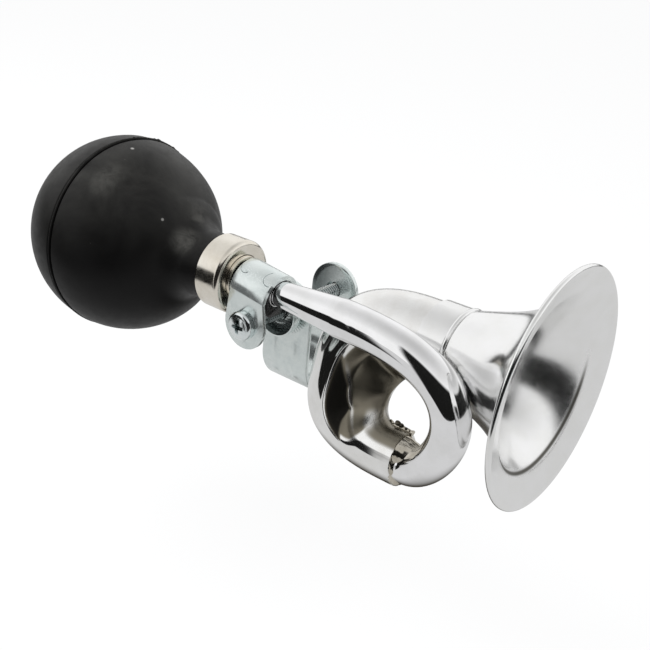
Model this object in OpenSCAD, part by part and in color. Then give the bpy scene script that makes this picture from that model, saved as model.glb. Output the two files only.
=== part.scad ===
// Bicycle bulb horn with one loop, on a U strap for the handlebar.
// Millimetres. Origin at the centre of the handlebar bore, +X towards the bell, +Z up.

/* [Bulb] */
// Outside diameter of the rubber ball
bulb_d = 68; // [56:1:84]
// Wall of the rubber ball
bulb_wall = 2.6; // [1.6:0.1:4]
// Radius of the hollow between the ball and its neck
neck_fillet = 9; // [6:0.5:12]
// Bare straight neck behind the ferrule
neck_bare = 6.5; // [4:0.5:12]

/* [Ferrule and neck bush] */
// Outside diameter of the ferrule
ferrule_d = 24.8; // [23.8:0.1:25.2]
// Length of the ferrule
ferrule_l = 9.6; // [7:0.2:14]
// Sheet of the ferrule
ferrule_t = 1; // [0.6:0.1:1.4]
// Radius of the ferrule's front corner
ferrule_round = 1.6; // [1:0.1:2.4]
// Distance from the ferrule's front face to the clamp screw
ferrule_to_screw = 9; // [8.6:0.1:12]
// Outside diameter of the bush in the rubber neck
bush_d = 15.4; // [14.6:0.2:17]
// Wall of the bush
bush_wall = 2.1; // [1.5:0.1:2.6]
// Length of the bush behind the ferrule's front face
bush_l = 14; // [12:0.5:18]
// Boss of the bush that stands out of the ferrule
boss_h = 1.2; // [0.6:0.1:1.6]
// Thickness of the bush's front wall, where the pipe is held
bush_floor = 3.6; // [2.6:0.1:4.6]

/* [Reed] */
// Length of the plug that seats the reed
plug_l = 5; // [4:0.2:6.5]
// Set of the plug inside the end of the bush
plug_set = 1; // [0.5:0.1:1.5]
// Outside diameter of the shallot
shallot_d = 4.4; // [4:0.1:5]
// Wall of the shallot
shallot_wall = 0.7; // [0.5:0.05:0.9]
// Length of the shallot behind the plug
shallot_l = 18; // [16.6:0.2:22]
// Closed end of the shallot
shallot_end = 1.4; // [1:0.1:2]
// Height of the flat on the shallot above its axis
shallot_flat = 1; // [0.8:0.05:1.2]
// Length of the tongue
tongue_l = 12.8; // [11:0.2:13.6]
// Width of the tongue
tongue_w = 3.6; // [3.2:0.1:4.2]
// Thickness of the tongue
tongue_t = 0.3; // [0.2:0.05:0.5]
// Length of the wedge that holds the tongue's root
wedge_l = 3; // [2:0.1:3.2]
// Height of the wedge
wedge_h = 1.5; // [1:0.1:2]

/* [Mouthpipe] */
// Diameter of the pipe at the clamp screw
pipe_d = 7; // [6.4:0.1:7.2]
// Diameter of the pipe where its bend begins
pipe_d_bend = 12.4; // [11:0.1:13]
// Diameter of the pipe at its soldered end
pipe_d_end = 12; // [11:0.1:13]
// Wall of the pipe
pipe_wall = 0.7; // [0.5:0.05:0.9]
// Straight length from the screw to the bend
pipe_lead = 32; // [28:0.5:36]
// Distance from the screw to the middle of the pipe at the front of its bend
loop_reach = 73.2; // [70:0.2:73.4]
// Drop of the loop from the pipe's axis to the soldered joint
loop_drop = 43.7; // [41:0.1:48]
// Sideways lean of the soldered joint
loop_lean = 7.8; // [6:0.1:9]
// Sideways bow of the bend, away from the bell
loop_bow = 2.4; // [2.2:0.1:4]
// Distance from the screw to the soldered joint
joint_x = 55; // [52:0.2:57]
// Straight pipe in front of the soldered joint
joint_lead = 1.5; // [1:0.1:3]
// Length of the pipe inside the loop tube's mouth
pipe_insert = 4; // [3:0.2:5]

/* [Loop tube] */
// Wall of the loop tube
tube_wall = 0.8; // [0.6:0.05:1]
// Diameter of the hole in the middle of the loop
hole_d = 12.8; // [11.6:0.2:15]
// Width of the tube at the back of the loop, in the plane of the loop
back_w = 30.4; // [28:0.2:31]
// Fullness of the loop's outside, 2 is an ellipse
loop_full = 2.75; // [2:0.05:3]
// Width of the tube at the back of the loop, across the loop
back_depth = 21.2; // [19:0.2:22]
// Depth of the dish pressed into the loop's near wall, as a share of that wall's height
dish = 0.42; // [0.3:0.02:0.5]
// Diameter of the branch that carries the bell
branch_d = 26; // [25:0.1:26.4]
// Straight part of the mouth
mouth_l = 5.8; // [5:0.1:7]
// Height of the soldered web on the inner side of the joint
web_h = 2.5; // [1.5:0.1:4]
// Gap of the joint below the pipe
joint_gap = 0.9; // [0.6:0.05:1.2]
// Gap of the joint beside the pipe
joint_side = 0.8; // [0.6:0.05:1.2]
// Thickness of the solder in the joint
solder_t = 2.4; // [1.6:0.1:3]
// Bare branch between the loop and the sleeve
branch_l = 2.4; // [2:0.1:6]
// Sideways distance from the pipe's axis to the bell's axis
bell_shift = 23.1; // [22.9:0.1:25]

/* [Bell] */
// Length of the sleeve between branch and bell
sleeve_l = 10.9; // [8:0.1:14]
// Sheet of the sleeve
sleeve_t = 0.8; // [0.6:0.05:1]
// Diameter of the bead at the sleeve's end
bead_d = 1.8; // [1.4:0.1:2.2]
// Diameter of the bell's throat in front of the sleeve
throat_d = 27.8; // [27.6:0.1:29]
// Length of the bell in front of the sleeve
bell_l = 30.6; // [28:0.1:38]
// Outside diameter of the bell's rim
bell_d = 75.6; // [70:0.2:84]
// Sheet of the bell
bell_t = 0.9; // [0.7:0.05:1.1]
// Rise of the bell's cone for each millimetre of length
cone_rise = 0.28; // [0.24:0.01:0.29]
// Power of the flare, higher is a later flare
flare_power = 4; // [3.5:0.1:5]
// Width of the flange between the cone and the rolled rim
flange_w = 8.8; // [7:0.2:11]
// Depth of the flange, from the rolled rim back to the cone
flange_h = 3; // [2:0.1:4]
// Reach of the bend between the cone and the flange, to each side
flange_bend = 1.4; // [0.8:0.1:2]
// Diameter of the rolled rim
rim_d = 1.8; // [1.6:0.1:2.4]

/* [Pipe clip] */
// Width of the clip along the pipe
clip_w = 14.2; // [12:0.2:14.6]
// Sheet of the clip
clip_t = 1.6; // [1.2:0.1:1.9]
// Inside width between the clip's ears
clip_gap = 13.3; // [12.6:0.1:14]
// Tilt of the clip's saddle, nose down
clip_tilt = 7; // [4:0.5:7.5]
// Drop of the saddle's centre below the pipe's axis
saddle_drop = 1.4; // [1:0.05:1.5]
// Recess of the ear's flat from each face of the saddle
ear_recess = 0.1; // [0.08:0.01:0.14]
// Step from the side of the saddle to the ear
ear_inset = 0.3; // [0.2:0.1:0.6]
// Reach of the ear up into the saddle
ear_root = 0.8; // [0.6:0.05:0.9]
// Diameter of the clip's ears
ear_d = 16.4; // [15.6:0.1:17]
// Diameter of the drawn cup in the far ear
cup_d = 12.8; // [11.6:0.1:13.4]
// Number of teeth of each toothed ring
tooth_n = 18; // [12:1:24]
// Height of a tooth
tooth_h = 0.5; // [0.3:0.05:0.7]
// Width of a tooth
tooth_w = 0.7; // [0.5:0.05:0.8]
// Length of a tooth
tooth_l = 2; // [1.6:0.1:2.4]
// Rim of the cup outside the teeth
tooth_rim = 0.4; // [0.3:0.1:0.8]

/* [Handlebar clamp] */
// Diameter of the handlebar
bar_d = 22.2; // [20:0.1:26]
// Width of the strap along the handlebar
strap_w = 19.6; // [18:0.2:20.4]
// Sheet of the strap
strap_t = 2; // [1.4:0.1:2.4]
// Gap between the handlebar and the screw
bar_to_screw = 4.9; // [1:0.1:6]
// Thread diameter of the screw
screw_d = 5; // [4:0.1:5.4]
// Drop of the screw below the pipe's axis
screw_drop = 11; // [11:0.1:12]
// Diameter of the screw's head
head_d = 9.5; // [8:0.1:11]
// Height of the screw's head
head_h = 3.4; // [3:0.1:4]
// Length of screw past the nut
screw_tip = 2; // [1:0.5:4]
// Width of the nut across its flats
nut_w = 8; // [7.4:0.1:9]
// Height of the nut
nut_h = 4; // [3:0.1:5]
// Width of a rib on the strap's near leg
rib_w = 2.4; // [1.6:0.1:3]
// Height of a rib
rib_h = 0.5; // [0.3:0.05:0.5]
// Length of a rib
rib_l = 9; // [6:0.5:9.5]
// Distance of each rib from the middle of the strap
rib_x = 4.4; // [3.5:0.1:5]
// Drop of the ribs below the middle of the bore
rib_drop = 1; // [0:0.2:2]

/* [Fits] */
// Radial gap of pieces that are pressed, crimped or soldered together
slip = 0.05; // [0.03:0.01:0.08]
// Clearance round pieces that turn
clear = 0.3; // [0.2:0.02:0.4]

/* [Hidden] */
$fn = 64;
ey = [0, 1, 0];
// Overshoot of cuts
over = 1;

// The clamp, measured from the bore
bore_r = bar_d / 2;
strap_r = bore_r + strap_t;
screw_r = screw_d / 2;
screw_hole_r = screw_r + clear;
screw_z = bore_r + bar_to_screw + screw_r;
nut_y = strap_r + nut_h;

// The pipe's axis: the ribs of the strap's near leg pass clear of the ferrule, the cup reaches to the teeth
ear_out = clip_gap / 2 + clip_t;
ear_face = ear_out - ear_recess;
leg_face = ferrule_d / 2 + clear + rib_h;
cup_face = leg_face - 2 * tooth_h - clear;
axis_y = -strap_r - leg_face;
axis_z = screw_z + screw_drop;

// The neck, along the pipe's axis from the screw
ferrule_x = -ferrule_to_screw;
ferrule_back = ferrule_x - ferrule_l;
boss_x = ferrule_x + boss_h;
bush_r = bush_d / 2;
bush_bore = bush_r - bush_wall;
bush_back = ferrule_x - bush_l;
pipe_start = boss_x - bush_floor;
neck_r = ferrule_d / 2 - ferrule_t - slip;
neck_bore = bush_r + slip;
neck_front = ferrule_x - ferrule_t - slip;
bulb_r = bulb_d / 2;
fillet_x = sqrt(pow(bulb_r + neck_fillet, 2) - pow(neck_r + neck_fillet, 2));
bulb_x = ferrule_back - neck_bare - fillet_x;
ball_end = asin((neck_r + neck_fillet) / (bulb_r + neck_fillet));
ball_bore = bulb_r - bulb_wall;

// The reed
plug_back = bush_back + plug_set;
shallot_r = shallot_d / 2;
shallot_bore = shallot_r - shallot_wall;
shallot_tail = plug_back - shallot_l;
wedge_x = plug_back - slip;
tongue_x = wedge_x - wedge_l - 2 * slip;
tongue_z = shallot_flat + slip;

// The loop
pipe_r_end = pipe_d_end / 2;
taper = (pipe_d_bend - pipe_d) / 2 / pipe_lead;
mouth_w = 2 * (pipe_r_end + joint_gap + tube_wall) + web_h;
mouth_depth = 2 * (pipe_r_end + joint_side + tube_wall);
mouth_low = -loop_drop - pipe_r_end - joint_gap - tube_wall;
hole_r = hole_d / 2;
hole_x = joint_x - mouth_l;
hole_z = mouth_low + mouth_w + hole_r;
branch_r = branch_d / 2;
bell_z = hole_z + hole_r + branch_r;

// The bell, along its own axis
sleeve_x = hole_x + branch_l;
sleeve_end = sleeve_x + sleeve_l;
seat_x = sleeve_x + sleeve_l / 2;
sleeve_r = branch_r + slip;
throat_r = throat_d / 2;
rim_r = rim_d / 2;
rim_at = [bell_d / 2 - rim_r, bell_l];
cone_end = rim_at - [flange_w, flange_h];
flare = cone_end[0] - throat_r - cone_rise * cone_end[1];

// Radius of the pipe on its straight taper
function pipe_r(x) = pipe_d / 2 + taper * x;

function unit(v) = v / norm(v);

function arc(centre, r, from, to, steps) =
    [for (i = [0:steps]) let (a = from + (to - from) * i / steps) centre + r * [cos(a), sin(a)]];

function bezier(p, t) =
    pow(1 - t, 3) * p[0] + 3 * t * pow(1 - t, 2) * p[1] + 3 * t * t * (1 - t) * p[2] + pow(t, 3) * p[3];

// Smooth step, 0 at 0 degrees and 1 at 180 degrees
function ease(a) = (1 - cos(a)) / 2;

// Smooth step of x, 0 up to one limit and 1 from the other
function step(from, to, x) = ease(180 * max(0, min(1, (x - from) / (to - from))));

// Triangles of a hollow tube of closed rings, all outer rings first and then all inner rings
function tube_faces(rings, sides) =
    let (inner = rings * sides, last = (rings - 1) * sides)
    concat(
        [for (i = [0:rings - 2], j = [0:sides - 1])
            let (a = i * sides + j, d = i * sides + (j + 1) % sides, b = a + sides, c = d + sides)
            each [
                [a, b, c], [a, c, d],
                [a + inner, c + inner, b + inner], [a + inner, d + inner, c + inner]
            ]],
        [for (j = [0:sides - 1])
            let (k = (j + 1) % sides)
            each [
                [j, k, inner + k], [j, inner + k, inner + j],
                [last + j, inner + last + k, last + k], [last + j, inner + last + j, inner + last + k]
            ]]
    );

// Moves to the pipe's axis above the screw
module on_horn() {
    translate([0, axis_y, axis_z]) children();
}

// Moves to the bell's axis
module on_bell() {
    on_horn() translate([0, bell_shift, bell_z]) children();
}

// A body turned about the X axis, from an outline of radius against length
module turned_x() {
    rotate([0, 90, 0]) rotate_extrude() children();
}

// A round bar along X
module bar_x(r, from, to) {
    translate([from, 0, 0]) rotate([0, 90, 0]) cylinder(r = r, h = to - from);
}

// A round bar along Y at the screw
module bar_y(r, from, to) {
    translate([0, from, screw_z]) rotate([-90, 0, 0]) cylinder(r = r, h = to - from);
}

// A ring of radial teeth round the screw, standing on the plane y towards +Y
module toothed_ring(y) {
    translate([0, y, screw_z])
        for (i = [0:tooth_n - 1])
            rotate([0, i * 360 / tooth_n, 0])
                translate([cup_d / 2 - tooth_rim - tooth_l, 0, -tooth_w / 2])
                    cube([tooth_l, tooth_h, tooth_w]);
}

module rubber_bulb() {
    inner_x = sqrt(pow(ball_bore, 2) - pow(neck_bore, 2));
    outline = concat(
        arc([0, 0], bulb_r, -90, 90 - ball_end, 36),
        arc([neck_r + neck_fillet, fillet_x], neck_fillet, 270 - ball_end, 180, 8),
        [[neck_r, neck_front - bulb_x], [neck_bore, neck_front - bulb_x]],
        arc([0, 0], ball_bore, asin(inner_x / ball_bore), -90, 30)
    );
    color([0.07, 0.07, 0.07]) on_horn() translate([bulb_x, 0, 0]) turned_x() polygon(outline);
}

module bulb_ferrule() {
    r = ferrule_d / 2;
    corner = arc([r - ferrule_round, ferrule_l - ferrule_round], ferrule_round, 0, 90, 6);
    hole = bush_r + slip;
    color([0.80, 0.77, 0.70]) on_horn() translate([ferrule_back, 0, 0]) turned_x()
        difference() {
            polygon(concat([[hole, 0], [r, 0]], corner, [[hole, ferrule_l]]));
            square([r - ferrule_t, ferrule_l - ferrule_t]);
        }
}

module neck_bush() {
    color([0.78, 0.75, 0.68]) on_horn() difference() {
        bar_x(bush_r, bush_back, boss_x);
        bar_x(bush_bore, bush_back - over, pipe_start);
        bar_x(pipe_r(boss_x) + slip, pipe_start - over, boss_x + over);
    }
}

module reed_plug() {
    color([0.80, 0.66, 0.36]) on_horn() difference() {
        bar_x(bush_bore - slip, plug_back, plug_back + plug_l);
        bar_x(shallot_r + slip, plug_back - over, plug_back + plug_l + over);
    }
}

module reed_shallot() {
    flat_l = shallot_l - slip;
    color([0.82, 0.68, 0.38]) on_horn() difference() {
        bar_x(shallot_r, shallot_tail, plug_back + plug_l);
        bar_x(shallot_bore, shallot_tail + shallot_end, plug_back + plug_l + over);
        translate([plug_back - flat_l - over, -shallot_d, shallot_flat])
            cube([flat_l + over, 2 * shallot_d, shallot_d]);
    }
}

module reed_tongue() {
    color([0.84, 0.70, 0.40]) on_horn()
        translate([tongue_x - tongue_l, -tongue_w / 2, tongue_z]) cube([tongue_l, tongue_w, tongue_t]);
}

module reed_wedge() {
    color([0.72, 0.58, 0.30]) on_horn()
        translate([wedge_x - wedge_l, -tongue_w / 2, shallot_flat]) cube([wedge_l, tongue_w, wedge_h]);
}

// Tapered pipe: straight, then two bends in one leaning surface that bows away from the bell
module mouthpipe() {
    sides = 24;
    steps = 13;
    // Share of the drop at the front of the bend, and the bend's fullness above, before, behind and below it
    middle = 0.46;
    above = 0.74;
    before = 0.28;
    behind = 0.23;
    below = 0.45;
    front = [loop_reach, middle];
    first = [
        [pipe_lead, 0],
        [pipe_lead + above * (loop_reach - pipe_lead), 0],
        front - [0, before],
        front
    ];
    second = [
        front,
        front + [0, behind],
        [joint_x + below * (loop_reach - joint_x), 1],
        [joint_x + joint_lead, 1]
    ];
    flat_path = concat(
        [[pipe_start, 0], [0, 0]],
        [for (i = [0:steps - 1]) bezier(first, i / steps)],
        [for (i = [0:steps]) bezier(second, i / steps)],
        [[joint_x, 1], [joint_x - pipe_insert, 1]]
    );
    rings = len(flat_path);
    path = [for (p = flat_path)
        [p[0], p[1] * loop_lean - 4 * loop_bow * p[1] * (1 - p[1]), -p[1] * loop_drop]];
    across = unit([0, loop_drop, loop_lean]);
    radius = [for (i = [0:rings - 1])
        i < 3 ? pipe_r(path[i][0]) : (pipe_d_bend + (pipe_d_end - pipe_d_bend) * (i - 2) / (rings - 3)) / 2];
    function ring(i, wall) =
        let (
            along = unit(path[min(i + 1, rings - 1)] - path[max(i - 1, 0)]),
            side = unit(cross(across, along)),
            up = cross(along, side)
        )
        [for (j = [0:sides - 1])
            let (a = 360 * j / sides) path[i] + (radius[i] - wall) * (cos(a) * side + sin(a) * up)];
    points = [for (wall = [0, pipe_wall], i = [0:rings - 1]) each ring(i, wall)];
    color([0.86, 0.86, 0.87]) on_horn() polyhedron(points, tube_faces(rings, sides), convexity = 8);
}

// Wide tube that fans round the hole of the loop, from its oval mouth up to the branch of the bell,
// with a dish pressed into its near wall between the hole and the outer roll
module loop_tube() {
    sides = 40;
    steps = 30;
    // Angles round the hole between which the dish grows and fades, and the roll's side across the section
    grow = [28, 72];
    fade = [165, 126];
    roll = [0.14, -0.24];
    bottom = hole_r + mouth_w;
    back = hole_r + back_w;
    top = hole_r + branch_d;
    function reach(a) =
        let (tall = abs(cos(a)) / (a < 90 ? bottom : top), wide = sin(a) / back)
        pow(pow(tall, loop_full) + pow(wide, loop_full), -1 / loop_full);
    function depth(a) =
        a < 90
            ? mouth_depth + (back_depth - mouth_depth) * ease(2 * a)
            : back_depth + (branch_d - back_depth) * ease(2 * a - 180);
    function sink(a, b) =
        let (along = step(grow[0], grow[1], a) * step(fade[0], fade[1], a))
        sin(b) > 0 ? dish * along * step(roll[0], roll[1], cos(b)) : 0;
    // Each section: angle round the hole, and place along X
    stations = concat(
        [[0, joint_x]],
        [for (i = [0:steps]) [180 * i / steps, hole_x]],
        [[180, seat_x - slip]]
    );
    rings = len(stations);
    function ring(s, wall) =
        let (
            a = s[0],
            out = [-sin(a), 0, -cos(a)],
            width = (reach(a) - hole_r) / 2,
            middle = [s[1], loop_lean + (bell_shift - loop_lean) * ease(a), hole_z] + out * (hole_r + width)
        )
        [for (j = [0:sides - 1])
            let (b = 360 * j / sides, height = depth(a) / 2 * (1 - sink(a, b)) - wall)
            middle + (width - wall) * cos(b) * out - height * sin(b) * ey];
    points = [for (wall = [0, tube_wall], s = stations) each ring(s, wall)];
    color([0.84, 0.84, 0.85]) on_horn() polyhedron(points, tube_faces(rings, sides), convexity = 8);
}

// Solder that closes the oval mouth round the end of the pipe
module loop_solder() {
    width = mouth_w / 2 - tube_wall - 2 * slip;
    depth = mouth_depth / 2 - tube_wall - 2 * slip;
    rise = mouth_low + mouth_w / 2 + loop_drop;
    sides = 48;
    oval = [for (i = [0:sides - 1]) let (a = 360 * i / sides) [depth * cos(a), rise + width * sin(a)]];
    color([0.62, 0.60, 0.56]) on_horn() translate([joint_x - solder_t, loop_lean, -loop_drop])
        rotate([90, 0, 90]) linear_extrude(solder_t - slip) difference() {
            polygon(oval);
            circle(pipe_r_end + slip);
        }
}

module bell_sleeve() {
    outside = sleeve_r + sleeve_t;
    color([0.85, 0.85, 0.85]) on_bell() translate([sleeve_x, 0, 0]) turned_x() difference() {
        union() {
            square([outside, sleeve_l]);
            translate([outside - bead_d / 4, sleeve_l - bead_d / 2]) circle(bead_d / 2);
        }
        translate([0, -sleeve_l]) square([sleeve_r, 3 * sleeve_l]);
    }
}

// Spigot in the sleeve, flared cone, flange and rolled rim
module bell() {
    steps = 22;
    bend_steps = 5;
    function radius(u) = throat_r + cone_rise * u + flare * pow(u / cone_end[1], flare_power);
    function bend(p, t) = pow(1 - t, 2) * p[0] + 2 * t * (1 - t) * p[1] + t * t * p[2];
    cone_l = cone_end[1] - flange_bend;
    corner = [[radius(cone_l), cone_l], cone_end, cone_end + flange_bend * unit(rim_at - cone_end)];
    outside = concat(
        [for (i = [0:steps - 1]) let (u = cone_l * i / steps) [radius(u), u]],
        [for (i = [0:bend_steps]) bend(corner, i / bend_steps)],
        [rim_at]
    );
    last = len(outside) - 1;
    inside = [for (i = [last:-1:0])
        let (along = unit(outside[min(i + 1, last)] - outside[max(i - 1, 0)]))
        outside[i] + bell_t * [-along[1], along[0]]];
    spigot = branch_r - bell_t;
    back = seat_x + slip - sleeve_end;
    start = [[spigot, 2 * slip], [spigot, back], [branch_r, back], [branch_r, slip], [throat_r, slip]];
    tail = [for (p = outside) if (p[1] > bell_t) p];
    head = [for (p = inside) if (p[1] > bell_t) p];
    color([0.87, 0.87, 0.87]) on_bell() translate([sleeve_end, 0, 0]) turned_x() union() {
        polygon(concat(start, tail, head, [[throat_r - bell_t, bell_t]]));
        translate(rim_at) circle(rim_r);
    }
}

// Flat ear of the clip, an outline in X and Z round the screw, up into the tilted foot of the saddle
module ear_outline() {
    side = clip_w / 2 - ear_inset;
    fall = side * tan(clip_tilt);
    top = screw_drop - saddle_drop + ear_root;
    r = ear_d / 2;
    circle(r);
    polygon([[-r, 0], [r, 0], [side, top - fall], [-side, top + fall]]);
}

// Section of the saddle across the pipe, half a ring
module saddle_outline() {
    difference() {
        circle(ear_out);
        circle(clip_gap / 2);
        translate([-2 * ear_out, -4 * ear_out]) square(4 * ear_out);
    }
}

module pipe_clip() {
    ear_t = clip_t - 2 * ear_recess;
    color([0.70, 0.74, 0.76]) translate([0, axis_y, 0]) difference() {
        union() {
            translate([0, 0, axis_z - saddle_drop]) rotate([0, clip_tilt, 0]) translate([-clip_w / 2, 0, 0])
                rotate([90, 0, 90]) linear_extrude(clip_w) saddle_outline();
            for (y = [ear_t - ear_face, ear_face])
                translate([0, y, screw_z]) rotate([90, 0, 0]) linear_extrude(ear_t) ear_outline();
            bar_y(cup_d / 2, ear_face - ear_t / 2, cup_face);
            toothed_ring(cup_face);
        }
        bar_y(cup_d / 2 - clip_t, 0, cup_face - clip_t);
        bar_y(screw_hole_r, -2 * ear_out, 2 * cup_face);
    }
}

// Soft bush that fills the saddle round the tapered pipe, cut flat above the screw
module clip_liner() {
    r = clip_gap / 2 - slip;
    half = clip_w / 2 - clear;
    low = screw_r + clear - screw_drop;
    reach = clip_w;
    color([0.06, 0.06, 0.06]) on_horn() difference() {
        translate([0, 0, -saddle_drop]) rotate([0, clip_tilt, 0]) bar_x(r, -half, half);
        translate([-reach, 0, 0]) rotate([0, 90, 0])
            cylinder(r1 = pipe_r(-reach) + slip, r2 = pipe_r(reach) + slip, h = 2 * reach);
        translate([-reach, -reach, low - 2 * reach]) cube(2 * reach);
    }
}

// Pan head with a cross recess, and a plain shank at the thread's outside diameter
module clamp_screw() {
    seat = axis_y - ear_face - slip;
    dome = 0.6 * head_d;
    recess_d = 0.56 * head_d;
    recess_w = 0.12 * head_d;
    recess_h = 0.55 * head_h;
    color([0.78, 0.80, 0.82]) difference() {
        union() {
            bar_y(screw_r, seat - over, nut_y + screw_tip);
            intersection() {
                bar_y(head_d / 2, seat - head_h, seat);
                translate([0, seat - head_h + dome, screw_z]) sphere(dome);
            }
        }
        for (turn = [0, 90])
            translate([0, seat - head_h, screw_z]) rotate([0, turn, 0])
                cube([recess_d, 2 * recess_h, recess_w], center = true);
    }
}

module handlebar_strap() {
    top = screw_z + strap_w / 2;
    color([0.68, 0.72, 0.74]) difference() {
        union() {
            intersection() {
                translate([-strap_w / 2, 0, 0]) rotate([90, 0, 90]) linear_extrude(strap_w) difference() {
                    union() {
                        circle(strap_r);
                        translate([-strap_r, 0]) square([2 * strap_r, top]);
                    }
                    circle(bore_r);
                    translate([-bore_r, 0]) square([2 * bore_r, 2 * top]);
                }
                translate([0, 2 * strap_r, 0]) rotate([90, 0, 0]) linear_extrude(4 * strap_r) union() {
                    translate([0, screw_z]) circle(strap_w / 2);
                    translate([-strap_w / 2, -2 * strap_r]) square([strap_w, 2 * strap_r + screw_z]);
                }
            }
            toothed_ring(-strap_r - tooth_h);
            for (x = [-rib_x, rib_x])
                translate([x, -strap_r + rib_w / 2 - rib_h, -rib_l / 2 - rib_drop])
                    cylinder(r = rib_w / 2, h = rib_l);
        }
        bar_y(screw_hole_r, -2 * strap_r, 2 * strap_r);
        translate([-strap_w, 0, 0]) bar_x(bore_r, 0, 2 * strap_w);
    }
}

module clamp_nut() {
    color([0.74, 0.76, 0.78]) difference() {
        translate([0, strap_r, screw_z]) rotate([-90, 0, 0])
            cylinder(r = nut_w / sqrt(3), h = nut_h, $fn = 6);
        bar_y(screw_r + slip, 0, 2 * nut_y);
    }
}

rubber_bulb();
bulb_ferrule();
neck_bush();
reed_plug();
reed_shallot();
reed_tongue();
reed_wedge();
mouthpipe();
loop_tube();
loop_solder();
bell_sleeve();
bell();
pipe_clip();
clip_liner();
clamp_screw();
handlebar_strap();
clamp_nut();
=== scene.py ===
import math
import bmesh
import bpy
import numpy as np
from mathutils import Matrix, Vector, noise


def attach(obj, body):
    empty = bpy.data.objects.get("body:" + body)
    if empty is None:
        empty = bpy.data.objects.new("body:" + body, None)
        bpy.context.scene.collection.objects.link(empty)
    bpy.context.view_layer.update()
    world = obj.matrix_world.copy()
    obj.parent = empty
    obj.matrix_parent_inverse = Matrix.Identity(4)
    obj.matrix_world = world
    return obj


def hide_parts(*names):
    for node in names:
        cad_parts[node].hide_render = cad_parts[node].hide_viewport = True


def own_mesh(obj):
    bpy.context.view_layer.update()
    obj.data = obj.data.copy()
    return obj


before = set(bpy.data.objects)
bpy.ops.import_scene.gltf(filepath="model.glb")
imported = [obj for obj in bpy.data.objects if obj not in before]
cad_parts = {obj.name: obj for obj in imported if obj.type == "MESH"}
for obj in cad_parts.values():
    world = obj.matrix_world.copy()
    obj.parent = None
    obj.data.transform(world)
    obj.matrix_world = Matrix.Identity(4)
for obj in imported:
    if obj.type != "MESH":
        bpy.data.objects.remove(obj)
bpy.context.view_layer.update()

MM = 0.001

# Sizes in millimetres, as in the part's source
AXIS_Y, AXIS_Z = -26.3, 29.5
AXIS = np.array([0, AXIS_Y, AXIS_Z])
BULB_X, BULB_R, BULB_BORE = -63.0, 34.0, 31.4
NECK_R, NECK_BORE, NECK_FRONT, FILLET = 11.35, 7.75, -10.05, 9.0
FERRULE_X, FERRULE_BACK, FERRULE_R = -9.0, -18.6, 12.4
BUSH_R, BOSS_X, BUSH_BACK, BUSH_BORE = 7.7, -7.8, -23.0, 5.6
PIPE_START = -11.4
BELL_SHIFT, BELL_DROP = 23.1, 7.7
BELL_Y, BELL_Z = AXIS_Y + BELL_SHIFT, AXIS_Z - BELL_DROP
SLEEVE_X, SLEEVE_END, SEAT_X = 51.6, 62.5, 57.05
BRANCH_R, THROAT_R, BELL_L, BELL_R, BELL_T = 13.0, 13.9, 30.6, 37.8, 0.9
HOLE_X, HOLE_Z, HOLE_R = 49.2, -27.1, 6.4
JOINT_X, LOOP_LEAN, LOOP_DROP, LOOP_BOW, LOOP_REACH = 55.0, 7.8, 43.7, 2.4, 73.2
SCREW_Z, STRAP_R, BORE_R = 18.5, 13.1, 11.1


# Small helpers
def smooth(a, b, x):
    """Smooth step of x, 0 up to a and 1 from b on."""
    t = min(max((x - a) / (b - a), 0.0), 1.0)
    return t * t * (3 - 2 * t)


def bell_curve(x, width):
    """1 at 0, falling away to both sides within about the width."""
    return math.exp(-(x / width) ** 2)


def unit(rows):
    """Vectors in rows, or a single one, at length 1."""
    return rows / np.linalg.norm(rows, axis=-1, keepdims=True)


def turns(count):
    """Angles of equal steps once round."""
    return [2 * math.pi * j / count for j in range(count)]


def sweep(start, end, count):
    """Angles in equal steps from one to another, which are given in degrees."""
    return np.radians(np.linspace(start, end, count))


def radians(*angles):
    """Angles given in degrees."""
    return tuple(math.radians(a) for a in angles)


def linked(name, data):
    """A new object in the scene, with its mesh, lamp or camera."""
    obj = bpy.data.objects.new(name, data)
    bpy.context.collection.objects.link(obj)
    return obj


def rounded(mesh):
    """Shade every face of a mesh smooth."""
    mesh.polygons.foreach_set("use_smooth", [True] * len(mesh.polygons))


def new_object(name, points, faces, sharp=35):
    """A smooth-shaded object from points in mm, with edges kept sharp above an angle."""
    mesh = bpy.data.meshes.new(name)
    mesh.from_pydata([tuple(c * MM for c in p) for p in points], [], [tuple(f) for f in faces])
    mesh.validate()
    tidy = bmesh.new()
    tidy.from_mesh(mesh)
    bmesh.ops.remove_doubles(tidy, verts=tidy.verts, dist=1e-7)
    bmesh.ops.recalc_face_normals(tidy, faces=tidy.faces)
    tidy.to_mesh(mesh)
    tidy.free()
    rounded(mesh)
    mesh.set_sharp_from_angle(angle=math.radians(sharp))
    return linked(name, mesh)


def shade(obj, shares):
    """Say at each point of a mesh how much it loses its polish and how much painted shade it takes, from 0 to
    1.
    """
    layer = obj.data.attributes.new("dull_and_shade", "FLOAT", "POINT")
    layer.data.foreach_set("value", shares)
    return obj


def coat(obj, mat):
    """Give an object a material in place of any that it has."""
    obj.data.materials.clear()
    obj.data.materials.append(mat)


def place(obj, body, slot, mat, *nodes):
    """Give a piece its material and body, and hide the CAD nodes that it stands for. The slot is not used."""
    coat(obj, mat)
    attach(obj, body)
    if nodes:
        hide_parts(*nodes)
    return obj


def grid_faces(rows, cols, close_rows=True):
    """Faces over rows of points, each row a closed ring, and from the last row to the first where asked."""
    faces = []
    for i in range(rows if close_rows else rows - 1):
        here, there = i * cols, (i + 1) % rows * cols
        for j in range(cols):
            after = (j + 1) % cols
            faces.append((here + j, here + after, there + after, there + j))
    return faces


def capped_faces(rows, cols):
    """Faces over such rows of points, with the first and the last row each closed by a face."""
    last = (rows - 1) * cols
    return grid_faces(rows, cols, False) + [tuple(range(cols)), tuple(last + j for j in range(cols))]


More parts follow.
